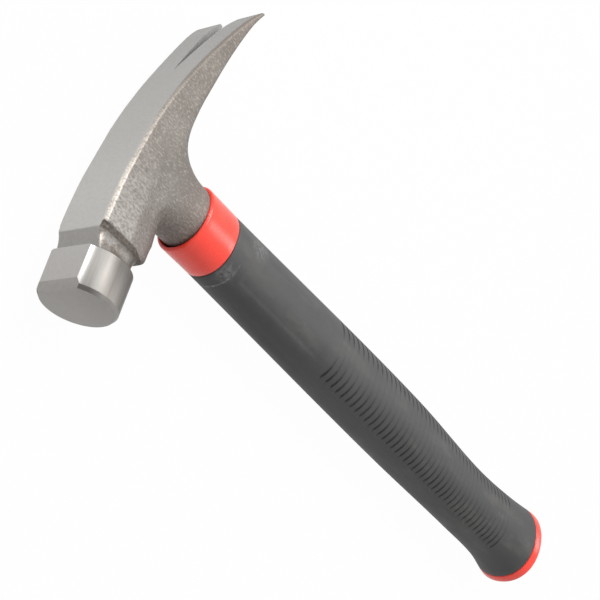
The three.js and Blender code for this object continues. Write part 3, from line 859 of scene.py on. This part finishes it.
def forged_steel():
    """Blasted cheeks, a ground top with rubbed edges, a machined core and a dark shoulder behind it."""
    finish = Finish("forged_steel", (0.26, 0.24, 0.225), 0.7, 0.55)
    ground = finish.mark("ground")
    machined = finish.mark("machined")
    smooth = finish.math("MAXIMUM", ground, machined)
    coarse = finish.noise(1350, 3, (0.55, 1, 1))
    fine = finish.noise(2400, 2)
    top_grain = finish.usual(finish.noise(800, 4))
    back_top = finish.blend(top_grain, (0.31, 0.304, 0.291), (0.345, 0.338, 0.324))
    front_top = finish.blend(top_grain, (0.49, 0.475, 0.455), (0.54, 0.525, 0.505))
    top = finish.blend(finish.along_strike(-70, 20), back_top, front_top)
    facet = finish.blend(top_grain, (0.31, 0.298, 0.285), (0.35, 0.338, 0.325))
    core = finish.blend(finish.range(ground, 0.1, 0.35), stained_core(finish, fine), facet)
    forged = finish.blend(ground, blasted_cheek(finish, coarse), top)
    plain = finish.blend(machined, forged, core)
    ragged = finish.range(coarse, 0.3, 0.65, 0.25, 0.85)
    rub_share = finish.math("MULTIPLY", finish.mark("rubbed"), ragged, clamp=True)
    rub = finish.blend(finish.along_strike(-40, 18), (0.21, 0.186, 0.162), (0.62, 0.57, 0.515))
    worn = finish.blend(rub_share, plain, rub)
    scale = finish.blend(finish.range(coarse, 0.4, 0.7), (0.058, 0.048, 0.041), (0.132, 0.114, 0.098))
    finish.colour(finish.blend(finish.mark("scaled"), worn, scale))
    finish.roughness(finish.mix(smooth, finish.usual(fine, 0.5, 0.7), 0.42))
    grain = finish.math("MULTIPLY_ADD", fine, 0.4, coarse)
    finish.bump(finish.math("MULTIPLY", grain, finish.range(smooth, 0.0, 1.0, 1.0, 0.15)), 0.15, 0.8)
    return finish.material


def slot_steel():
    """The walls of the nail slot, dull from the cutter, with faint lines along them."""
    finish = Finish("slot_steel", (0.24, 0.232, 0.224), 0.15, 0.6)
    lines = finish.noise(110, 3, (6, 1, 6))
    finish.colour(finish.blend(finish.usual(lines), (0.2, 0.195, 0.189), (0.25, 0.244, 0.236)))
    finish.roughness(finish.usual(lines, 0.55, 0.7))
    finish.bump(lines, 0.02, 0.5)
    return finish.material


def turned_steel():
    """Satin turning, with painted light and shade on the flank: darker towards the core, lighter towards the
    face and on the upper flank; a painted highlight strip along the edges of the flat, smoother there too.
    """
    finish = Finish("turned_steel", (0.22, 0.21, 0.2), 0.85, 0.38)
    lines = finish.noise(700, 3, (1, 0.06, 1))
    satin_share = finish.usual(lines)
    # Painted light and shade on the flank: darker towards the core, lighter towards the face and on the upper
    # flank.
    core_end_painted_shade = finish.blend(satin_share, (0.115, 0.106, 0.097), (0.16, 0.15, 0.139))
    face_end_painted_light = finish.blend(satin_share, (0.185, 0.171, 0.156), (0.25, 0.234, 0.216))
    lower = finish.blend(finish.along_strike(POLL_BACK + 3, FACE_DISTANCE - 2), core_end_painted_shade, face_end_painted_light)
    upper = finish.blend(satin_share, (0.198, 0.19, 0.179), (0.262, 0.252, 0.239))
    satin_with_painted_light = finish.blend(finish.up_handle(POLL_AXIS + 2.5, POLL_AXIS + 8), lower, upper)
    # A painted highlight strip along the edges of the flat, with lower roughness there.
    beside_flat = finish.up_handle(HEAD_TOP - 3.2, HEAD_TOP - 0.5)
    painted_highlight_strip = finish.math("POWER", beside_flat, 6.0)
    finish.colour(finish.blend(painted_highlight_strip, satin_with_painted_light, (0.8, 0.79, 0.77)))
    finish.roughness(finish.mix(painted_highlight_strip, finish.usual(lines, 0.42, 0.54), 0.24))
    finish.bump(lines, 0.01, 0.5)
    return finish.material


def ground_flat_steel():
    finish = Finish("ground_flat_steel", (0.45, 0.44, 0.42), 0.8, 0.4)
    lines = finish.noise(70, 3, (8, 8, 60))
    finish.colour(finish.blend(finish.usual(lines), (0.41, 0.395, 0.375), (0.49, 0.475, 0.455)))
    finish.roughness(finish.usual(lines, 0.34, 0.48))
    finish.bump(lines, 0.02, 0.6)
    return finish.material


def face_steel():
    # Its tone, darker than the ground flat's, is partly a worn finish and partly a painted dark reflection.
    finish = Finish("face_steel", (0.34, 0.33, 0.315), 0.75, 0.45)
    grain = finish.noise(420, 4)
    finish.colour(finish.blend(finish.usual(grain), (0.31, 0.295, 0.28), (0.37, 0.355, 0.34)))
    finish.roughness(finish.usual(grain, 0.4, 0.55))
    finish.bump(grain, 0.02, 0.5)
    return finish.material


def chamfer_steel():
    """A painted dark reflection beside the flat, darkest there, and like the face further round."""
    finish = Finish("chamfer_steel", (0.3, 0.285, 0.27), 0.75, 0.45)
    grain = finish.noise(420, 4)
    # A painted dark reflection on the chamfer beside each end of the flat.
    ends = [finish.distance(spot(FACE_DISTANCE - 1, side * 10.4, HEAD_TOP - 2.2)) for side in (1, -1)]
    clear_of_painted_dark = finish.range(finish.math("MINIMUM", *ends), 2.5 * MM, 7.5 * MM)
    round_face = finish.blend(finish.usual(grain), (0.262, 0.248, 0.234), (0.31, 0.296, 0.282))
    finish.colour(finish.blend(clear_of_painted_dark, (0.13, 0.12, 0.112), round_face))
    finish.roughness(finish.usual(grain, 0.4, 0.55))
    finish.bump(grain, 0.02, 0.5)
    return finish.material


def red_plastic():
    finish = Finish("red_plastic", (0.88, 0.055, 0.035), 0.0, 0.36)
    haze = finish.noise(160, 4)
    finish.colour(finish.blend(finish.usual(haze), (0.96, 0.052, 0.03), (1.0, 0.066, 0.04)))
    finish.roughness(finish.usual(haze, 0.23, 0.31))
    finish.bump(finish.noise(700, 2), 0.006, 0.3)
    return finish.material


def scuff_share(finish):
    """Two pale smudges and part of a thin ring, all on the rubber just below the collar."""
    front_smudge = finish.near(spot(12.4, 7.8, 274.5), 1, 5.5, 0.7)
    side_smudge = finish.near(spot(-5.8, 11.6, 263.5), 1.5, 7, 0.5)
    off_ring = finish.math("ABSOLUTE", finish.math("SUBTRACT", finish.axis("X"), spot(0, 0, 271.3).x))
    on_ring = finish.range(off_ring, 0.2 * MM, 0.7 * MM, 1.0, 0.0)
    ring_scuff = finish.math("MULTIPLY", on_ring, finish.near(spot(15, 1, 271.3), 7, 14))
    scuffs = finish.math("MAXIMUM", finish.math("MAXIMUM", front_smudge, side_smudge), ring_scuff)
    ragged = finish.range(finish.noise(700, 5), 0.35, 0.7)
    return finish.math("MULTIPLY", scuffs, ragged)


def grip_rubber():
    """Matt dark rubber, mottled and rubbed paler in places, with painted shade that makes it darkest towards
    the butt.
    """
    finish = Finish("grip_rubber", (0.066, 0.066, 0.068), 0.0, 0.62)
    mottle = finish.noise(55, 8, rough=0.7)
    mottled = finish.range(mottle, 0.38, 0.62)
    # Painted shade: the rubber is darker towards the butt, where the light falls off.
    butt_end_painted_shade = finish.blend(mottled, (0.0265, 0.0265, 0.0272), (0.041, 0.0406, 0.0403))
    by_panel = finish.blend(mottled, (0.035, 0.035, 0.0356), (0.0545, 0.054, 0.0535))
    mottled_with_painted_shade = finish.blend(finish.up_handle(50, 200), butt_end_painted_shade, by_panel)
    rubbed = finish.range(finish.noise(120, 6, (0.3, 1, 1), 0.65), 0.52, 0.7, 0.0, 0.7)
    plain = finish.blend(rubbed, mottled_with_painted_shade, (0.07, 0.0675, 0.063))
    finish.colour(finish.blend(scuff_share(finish), plain, (0.26, 0.255, 0.25)))
    finish.roughness(finish.usual(mottle, 0.53, 0.7))
    finish.bump(finish.noise(900, 5), 0.06, 0.6)
    return finish.material


def inside_finish(name, dark, light, metallic, roughness, scale, stretch=(1, 1, 1)):
    finish = Finish(name, dark, metallic, roughness)
    grain = finish.noise(scale, 3, stretch)
    finish.colour(finish.blend(finish.usual(grain), dark, light))
    finish.bump(grain, 0.02, 0.5)
    return finish.material


def dress_inside():
    plug = inside_finish("plug_steel", (0.3, 0.3, 0.32), (0.42, 0.42, 0.44), 0.9, 0.35, 200)
    tube = inside_finish("tube_steel", (0.26, 0.27, 0.29), (0.36, 0.37, 0.39), 0.9, 0.38, 60, (1, 30, 30))
    damper = inside_finish("damping_rubber", (0.012, 0.012, 0.013), (0.02, 0.02, 0.021), 0.0, 0.75, 900)
    plastic = inside_finish("hard_plastic", (0.025, 0.025, 0.028), (0.035, 0.035, 0.038), 0.0, 0.5, 500)
    finishes = {
        "socket_pad": damper,
        "socket_sleeve": damper,
        "expander_plug": plug,
        "cross_pin": plug,
        "shaft_tube": tube,
        "shaft_end_plug": plastic,
        "grip_core": plastic,
    }
    for name, material in finishes.items():
        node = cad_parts[name]
        if not node.material_slots:
            node.data.materials.append(material)
        for slot in node.material_slots:
            slot.material = material


def dress(piece, *materials):
    piece.data.materials.clear()
    for material in materials:
        piece.data.materials.append(material)


def dress_zones(piece, zone):
    for face in piece.data.polygons:
        face.material_index = zone(own_axes(face.center), own_direction(face.normal))


def build_hammer():
    dress(grip_sleeve(), grip_rubber())
    red = red_plastic()
    dress(neck_collar(), red)
    dress(butt_cap(), red)
    forging = head_forging()
    dress(forging, forged_steel(), slot_steel())
    dress_zones(forging, forging_zone)
    poll = head_poll()
    dress(poll, turned_steel(), ground_flat_steel(), face_steel(), chamfer_steel())
    dress_zones(poll, poll_zone)
    dress_inside()


# Studio

CAMERA_SPOT = Vector((0.41096, 0.26221, 0.32705))
CAMERA_RIGHT = Vector((-0.5184, -0.24915, 0.81804))
CAMERA_UP = Vector((0.5351, -0.8407, 0.08305))
LENS = 78.0
SENSOR_WIDTH = 36.0
CLIP_START = 0.01
WORLD_LIGHT = 0.54
FLOOR_HALF_SIZE = 4.0
FLOOR_GREY = 0.5
FLOOR_ROUGHNESS = 0.9
FLOOR_GLOW = 0.98


def add_camera():
    data = bpy.data.cameras.new("camera")
    data.lens = LENS
    data.sensor_width = SENSOR_WIDTH
    data.clip_start = CLIP_START
    camera = bpy.data.objects.new("camera", data)
    back = CAMERA_RIGHT.cross(CAMERA_UP)
    turn = Matrix((CAMERA_RIGHT, CAMERA_UP, back)).transposed()
    camera.matrix_world = Matrix.Translation(CAMERA_SPOT) @ turn.to_4x4()
    bpy.context.scene.collection.objects.link(camera)
    bpy.context.scene.camera = camera


def add_lamp(name, direction, distance, size, power):
    data = bpy.data.lights.new(name, "AREA")
    data.shape = "DISK"
    data.size = size
    data.energy = power
    lamp = bpy.data.objects.new(name, data)
    towards = Vector(direction).normalized()
    turn = towards.to_track_quat("Z", "Y").to_matrix()
    lamp.matrix_world = Matrix.Translation(towards * distance) @ turn.to_4x4()
    bpy.context.scene.collection.objects.link(lamp)


def seen_directly(tree):
    """1 for rays from the camera, mirrors and glass, 0 for the light that falls on things."""
    path = tree.nodes.new("ShaderNodeLightPath")
    either = tree.nodes.new("ShaderNodeMath")
    either.operation = "MAXIMUM"
    tree.links.new(path.outputs["Is Camera Ray"], either.inputs[0])
    tree.links.new(path.outputs["Is Glossy Ray"], either.inputs[1])
    all_three = tree.nodes.new("ShaderNodeMath")
    all_three.operation = "MAXIMUM"
    tree.links.new(either.outputs["Value"], all_three.inputs[0])
    tree.links.new(path.outputs["Is Transmission Ray"], all_three.inputs[1])
    return all_three.outputs["Value"]


def add_surroundings():
    world = bpy.data.worlds.new("studio")
    bpy.context.scene.world = world
    world.use_nodes = True
    tree = world.node_tree
    background = tree.nodes["Background"]
    background.inputs["Color"].default_value = (1, 1, 1, 1)
    strength = tree.nodes.new("ShaderNodeMapRange")
    strength.inputs["To Min"].default_value = WORLD_LIGHT
    strength.inputs["To Max"].default_value = 1.0
    tree.links.new(seen_directly(tree), strength.inputs["Value"])
    tree.links.new(strength.outputs["Result"], background.inputs["Strength"])


def add_floor():
    bm = bmesh.new()
    bmesh.ops.create_grid(bm, x_segments=1, y_segments=1, size=FLOOR_HALF_SIZE)
    floor = make_object(bm, "floor")
    material = bpy.data.materials.new("pale_floor")
    material.use_nodes = True
    tree = material.node_tree
    shader = tree.nodes["Principled BSDF"]
    shader.inputs["Base Color"].default_value = (FLOOR_GREY, FLOOR_GREY, FLOOR_GREY, 1)
    shader.inputs["Roughness"].default_value = FLOOR_ROUGHNESS
    glow = tree.nodes.new("ShaderNodeEmission")
    share = tree.nodes.new("ShaderNodeMath")
    share.operation = "MULTIPLY"
    share.inputs[1].default_value = FLOOR_GLOW
    tree.links.new(seen_directly(tree), share.inputs[0])
    mixed = tree.nodes.new("ShaderNodeMixShader")
    tree.links.new(share.outputs["Value"], mixed.inputs["Fac"])
    tree.links.new(shader.outputs["BSDF"], mixed.inputs[1])
    tree.links.new(glow.outputs["Emission"], mixed.inputs[2])
    tree.links.new(mixed.outputs["Shader"], tree.nodes["Material Output"].inputs["Surface"])
    dress(floor, material)


def set_studio():
    bpy.context.scene.view_settings.view_transform = "Standard"
    add_camera()
    add_lamp("overhead", (0.14, -0.43, 0.89), 0.95, 0.48, 6.8)
    add_lamp("head_side", (0.78, -0.45, 0.44), 1.0, 0.25, 2.4)
    add_lamp("handle_side", (-0.62, -0.28, 0.73), 1.0, 0.35, 1.55)
    add_surroundings()
    add_floor()


build_hammer()
set_studio()
